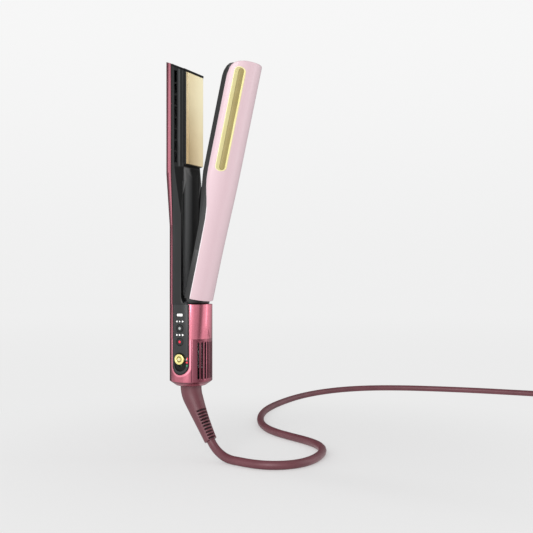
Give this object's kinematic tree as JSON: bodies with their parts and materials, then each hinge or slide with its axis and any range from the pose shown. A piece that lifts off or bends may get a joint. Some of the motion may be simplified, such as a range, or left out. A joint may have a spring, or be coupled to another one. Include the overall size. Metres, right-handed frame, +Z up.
{
  "type": "hair straightener",
  "caption": "Wet-to-dry hair straightener with a round fan barrel, a hinged moving arm, gold heater plates, air vents, a slide switch and a mains cord on a swivel.",
  "frame": {"origin": "on the barrel's axis at mid-height, where the hand or a stand holds it", "axes": "+Z up along the handle, +X the way the moving arm opens, -Y the side with the control panel"},
  "size_m": [0.4723, 0.6201, 0.3961],
  "materials": {
    "rose_coat": "satin metallic coat",
    "dusty_rose": "satin moulded plastic",
    "gloss_black": "gloss black",
    "matte_black": "fine matte black",
    "dark_frame": "moulded dark grey",
    "button_black": "soft-touch black",
    "light_window": "clear light guide",
    "gold_plate": "gold ceramic coat on aluminium",
    "gold_lining": "bright gold coat",
    "gold_switch": "turned gold",
    "pale_pink": "satin pearl coat",
    "board_green": "circuit board",
    "steel": "machined",
    "fan_white": "moulded nylon",
    "ceramic": "ceramic",
    "wire_red": "insulated wire",
    "copper_ring": "contact rings",
    "cord_rose": "matte moulded",
    "tie_dark": "woven strap"
  },
  "bodies": {
    "base": {"base_housing": "rose_coat", "control_panel": "gloss_black", "light_bar": "light_window", "upper_lights": "light_window", "lower_lights": "light_window", "main_board": "board_green", "chassis": "dark_frame", "fan_motor": "steel", "motor_mount": "dark_frame", "fan_shroud": "dark_frame", "fixed_cover": "rose_coat", "fixed_shell": "matte_black", "fixed_plate": "gold_plate", "fixed_heater": "ceramic", "fixed_tip": "matte_black", "air_heater": "ceramic", "thermal_fuse": "steel", "fixed_wires": "wire_red", "hinge_fork": "dark_frame", "hinge_pin": "steel", "hinge_spring": "steel"},
    "mode_key": {"mode_button": "button_black"},
    "heat_key": {"heat_button": "button_black"},
    "slider": {"slide_switch": "gold_switch"},
    "fan": {"impeller": "fan_white"},
    "filter": {"filter_cage": "dusty_rose", "filter_mesh": "steel"},
    "moving_arm": {"moving_cover": "pale_pink", "moving_lip": "matte_black", "plate_frame": "matte_black", "arm_end": "matte_black", "hinge_knuckle": "dark_frame", "slot_lining": "gold_lining", "upper_spring": "steel", "lower_spring": "steel", "spring_bridge": "dark_frame", "moving_wires": "wire_red"},
    "floating_plate": {"moving_plate": "gold_plate", "moving_heater": "ceramic"},
    "cord_set": {"swivel_collar": "dark_frame", "slip_ring": "copper_ring", "strain_relief": "cord_rose", "cord": "cord_rose", "cord_coil": "cord_rose", "coil_tie_1": "tie_dark", "coil_tie_2": "tie_dark", "plug_relief": "cord_rose", "plug_body": "cord_rose", "plug_pin_1": "steel", "plug_pin_2": "steel"}
  },
  "joints": [
    {"name": "arm_hinge", "type": "hinge", "parent": "base", "child": "moving_arm", "pos_m": [0.006, 0, 0.042], "axis": [0, 1, 0], "range_deg": [-13.4, 0], "stiffness_Nm_per_rad": 0.5, "springref_deg": 28.65},
    {"name": "plate_float", "type": "slide", "parent": "moving_arm", "child": "floating_plate", "axis": [0.9728, 0, -0.2317], "range_m": [0, 0.0006], "stiffness_N_per_m": 3000, "springref_m": -0.001},
    {"name": "filter_slide", "type": "slide", "parent": "base", "child": "filter", "axis": [0, 0, -1], "range_m": [0, 0.012]},
    {"name": "mode_press", "type": "slide", "parent": "base", "child": "mode_key", "axis": [0, 1, 0], "range_m": [0, 0.0006], "stiffness_N_per_m": 1500, "springref_m": -0.0006},
    {"name": "heat_press", "type": "slide", "parent": "base", "child": "heat_key", "axis": [0, 1, 0], "range_m": [0, 0.0006], "stiffness_N_per_m": 1500, "springref_m": -0.0006},
    {"name": "power_slide", "type": "slide", "parent": "base", "child": "slider", "axis": [0, 0, -1], "range_m": [0, 0.005]},
    {"name": "fan_spin", "type": "hinge", "parent": "base", "child": "fan", "pos_m": [0, 0, 0], "axis": [0, 0, 1], "continuous": true},
    {"name": "cord_swivel", "type": "hinge", "parent": "base", "child": "cord_set", "pos_m": [0, 0, 0], "axis": [0, 0, 1], "continuous": true}
  ]
}
